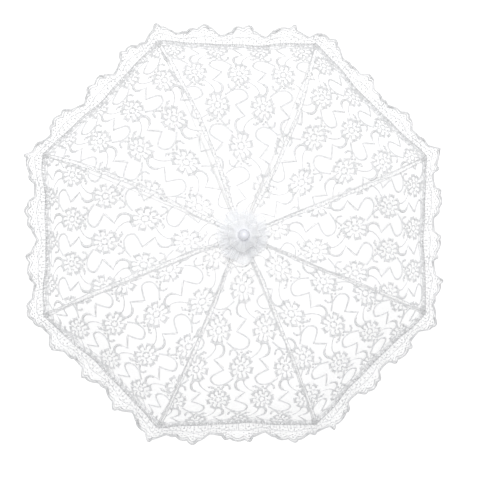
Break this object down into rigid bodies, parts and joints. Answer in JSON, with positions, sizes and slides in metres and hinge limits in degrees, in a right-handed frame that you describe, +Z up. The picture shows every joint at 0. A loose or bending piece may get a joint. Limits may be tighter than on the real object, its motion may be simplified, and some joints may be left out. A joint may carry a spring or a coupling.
{
  "type": "lace parasol",
  "caption": "Small open parasol: straight turned handle, folding wire ribs and struts on a sliding runner, octagonal lace canopy with a gathered ruffle and rosette.",
  "frame": {"origin": "centre of the flat bottom end of the handle", "axes": "+Z up along the shaft to the ferrule, ribs at 22.5 degrees and every 45 degrees from +X"},
  "size_m": [0.5002, 0.5002, 0.4],
  "materials": {
    "shaft_wood": "satin",
    "handle_wood": "satin",
    "white_plastic": "semi-gloss",
    "ferrule_plastic": "gloss",
    "steel": "bright",
    "rib_wire": "white enamel",
    "stretcher_wire": "white enamel",
    "lace": "matte",
    "ruffle_lace": "matte",
    "rosette_tulle": "matte"
  },
  "bodies": {
    "frame": {"shaft": "shaft_wood", "handle": "handle_wood", "handle_collar": "white_plastic", "ferrule": "ferrule_plastic", "crown": "white_plastic", "crown_ring": "steel", "canopy_cap": "white_plastic", "rosette": "rosette_tulle", "catch_spring": "steel", "stop_pin": "steel"},
    "runner": {"runner": "white_plastic", "runner_ring": "steel"},
    "rib_1": {"rib_1": "rib_wire", "rib_rivet_1": "steel", "tip_cap_1": "white_plastic", "canopy_section_1": "lace", "ruffle_section_1": "ruffle_lace"},
    "rib_2": {"rib_2": "rib_wire", "rib_rivet_2": "steel", "tip_cap_2": "white_plastic", "canopy_section_2": "lace", "ruffle_section_2": "ruffle_lace"},
    "rib_3": {"rib_3": "rib_wire", "rib_rivet_3": "steel", "tip_cap_3": "white_plastic", "canopy_section_3": "lace", "ruffle_section_3": "ruffle_lace"},
    "rib_4": {"rib_4": "rib_wire", "rib_rivet_4": "steel", "tip_cap_4": "white_plastic", "canopy_section_4": "lace", "ruffle_section_4": "ruffle_lace"},
    "rib_5": {"rib_5": "rib_wire", "rib_rivet_5": "steel", "tip_cap_5": "white_plastic", "canopy_section_5": "lace", "ruffle_section_5": "ruffle_lace"},
    "rib_6": {"rib_6": "rib_wire", "rib_rivet_6": "steel", "tip_cap_6": "white_plastic", "canopy_section_6": "lace", "ruffle_section_6": "ruffle_lace"},
    "rib_7": {"rib_7": "rib_wire", "rib_rivet_7": "steel", "tip_cap_7": "white_plastic", "canopy_section_7": "lace", "ruffle_section_7": "ruffle_lace"},
    "rib_8": {"rib_8": "rib_wire", "rib_rivet_8": "steel", "tip_cap_8": "white_plastic", "canopy_section_8": "lace", "ruffle_section_8": "ruffle_lace"},
    "stretcher_1": {"stretcher_1": "stretcher_wire"},
    "stretcher_2": {"stretcher_2": "stretcher_wire"},
    "stretcher_3": {"stretcher_3": "stretcher_wire"},
    "stretcher_4": {"stretcher_4": "stretcher_wire"},
    "stretcher_5": {"stretcher_5": "stretcher_wire"},
    "stretcher_6": {"stretcher_6": "stretcher_wire"},
    "stretcher_7": {"stretcher_7": "stretcher_wire"},
    "stretcher_8": {"stretcher_8": "stretcher_wire"}
  },
  "joints": [
    {"name": "rib_1_fold", "type": "hinge", "parent": "frame", "child": "rib_1", "pos_m": [0.00831, 0.00344, 0.35], "axis": [-0.3827, 0.9239, 0], "range_deg": [0, 63.6], "deforming": ["canopy_section_1", "ruffle_section_1", "catch_spring"]},
    {"name": "rib_2_fold", "type": "hinge", "parent": "frame", "child": "rib_2", "pos_m": [0.00344, 0.00831, 0.35], "axis": [-0.9239, 0.3827, 0], "range_deg": [0, 63.6], "deforming": ["canopy_section_2", "ruffle_section_2"]},
    {"name": "rib_3_fold", "type": "hinge", "parent": "frame", "child": "rib_3", "pos_m": [-0.00344, 0.00831, 0.35], "axis": [-0.9239, -0.3827, 0], "range_deg": [0, 63.6], "deforming": ["canopy_section_3", "ruffle_section_3"]},
    {"name": "rib_4_fold", "type": "hinge", "parent": "frame", "child": "rib_4", "pos_m": [-0.00831, 0.00344, 0.35], "axis": [-0.3827, -0.9239, 0], "range_deg": [0, 63.6], "deforming": ["canopy_section_4", "ruffle_section_4"]},
    {"name": "rib_5_fold", "type": "hinge", "parent": "frame", "child": "rib_5", "pos_m": [-0.00831, -0.00344, 0.35], "axis": [0.3827, -0.9239, 0], "range_deg": [0, 63.6], "deforming": ["canopy_section_5", "ruffle_section_5"]},
    {"name": "rib_6_fold", "type": "hinge", "parent": "frame", "child": "rib_6", "pos_m": [-0.00344, -0.00831, 0.35], "axis": [0.9239, -0.3827, 0], "range_deg": [0, 63.6], "deforming": ["canopy_section_6", "ruffle_section_6"]},
    {"name": "rib_7_fold", "type": "hinge", "parent": "frame", "child": "rib_7", "pos_m": [0.00344, -0.00831, 0.35], "axis": [0.9239, 0.3827, 0], "range_deg": [0, 63.6], "deforming": ["canopy_section_7", "ruffle_section_7"]},
    {"name": "rib_8_fold", "type": "hinge", "parent": "frame", "child": "rib_8", "pos_m": [0.00831, -0.00344, 0.35], "axis": [0.3827, 0.9239, 0], "range_deg": [0, 63.6], "deforming": ["canopy_section_8", "ruffle_section_8"]},
    {"name": "stretcher_1_swing", "type": "hinge", "parent": "rib_1", "child": "stretcher_1", "pos_m": [0.10994, 0.04554, 0.3201], "axis": [-0.3827, 0.9239, 0], "range_deg": [-127.2, 0]},
    {"name": "stretcher_2_swing", "type": "hinge", "parent": "rib_2", "child": "stretcher_2", "pos_m": [0.04554, 0.10994, 0.3201], "axis": [-0.9239, 0.3827, 0], "range_deg": [-127.2, 0]},
    {"name": "stretcher_3_swing", "type": "hinge", "parent": "rib_3", "child": "stretcher_3", "pos_m": [-0.04554, 0.10994, 0.3201], "axis": [-0.9239, -0.3827, 0], "range_deg": [-127.2, 0]},
    {"name": "stretcher_4_swing", "type": "hinge", "parent": "rib_4", "child": "stretcher_4", "pos_m": [-0.10994, 0.04554, 0.3201], "axis": [-0.3827, -0.9239, 0], "range_deg": [-127.2, 0]},
    {"name": "stretcher_5_swing", "type": "hinge", "parent": "rib_5", "child": "stretcher_5", "pos_m": [-0.10994, -0.04554, 0.3201], "axis": [0.3827, -0.9239, 0], "range_deg": [-127.2, 0]},
    {"name": "stretcher_6_swing", "type": "hinge", "parent": "rib_6", "child": "stretcher_6", "pos_m": [-0.04554, -0.10994, 0.3201], "axis": [0.9239, -0.3827, 0], "range_deg": [-127.2, 0]},
    {"name": "stretcher_7_swing", "type": "hinge", "parent": "rib_7", "child": "stretcher_7", "pos_m": [0.04554, -0.10994, 0.3201], "axis": [0.9239, 0.3827, 0], "range_deg": [-127.2, 0]},
    {"name": "stretcher_8_swing", "type": "hinge", "parent": "rib_8", "child": "stretcher_8", "pos_m": [0.10994, -0.04554, 0.3201], "axis": [0.3827, 0.9239, 0], "range_deg": [-127.2, 0]},
    {"name": "runner_travel", "type": "hinge", "parent": "stretcher_1", "child": "runner", "pos_m": [0.00831, 0.00344, 0.29021], "axis": [-0.3827, 0.9239, 0], "range_deg": [0, 63.6]}
  ],
  "couplings": [
    {"joint": "rib_2_fold", "follows": "rib_1_fold", "ratio": 1},
    {"joint": "rib_3_fold", "follows": "rib_1_fold", "ratio": 1},
    {"joint": "rib_4_fold", "follows": "rib_1_fold", "ratio": 1},
    {"joint": "rib_5_fold", "follows": "rib_1_fold", "ratio": 1},
    {"joint": "rib_6_fold", "follows": "rib_1_fold", "ratio": 1},
    {"joint": "rib_7_fold", "follows": "rib_1_fold", "ratio": 1},
    {"joint": "rib_8_fold", "follows": "rib_1_fold", "ratio": 1},
    {"joint": "stretcher_1_swing", "follows": "rib_1_fold", "ratio": -2},
    {"joint": "stretcher_2_swing", "follows": "rib_1_fold", "ratio": -2},
    {"joint": "stretcher_3_swing", "follows": "rib_1_fold", "ratio": -2},
    {"joint": "stretcher_4_swing", "follows": "rib_1_fold", "ratio": -2},
    {"joint": "stretcher_5_swing", "follows": "rib_1_fold", "ratio": -2},
    {"joint": "stretcher_6_swing", "follows": "rib_1_fold", "ratio": -2},
    {"joint": "stretcher_7_swing", "follows": "rib_1_fold", "ratio": -2},
    {"joint": "stretcher_8_swing", "follows": "rib_1_fold", "ratio": -2},
    {"joint": "runner_travel", "follows": "rib_1_fold", "ratio": 1}
  ]
}
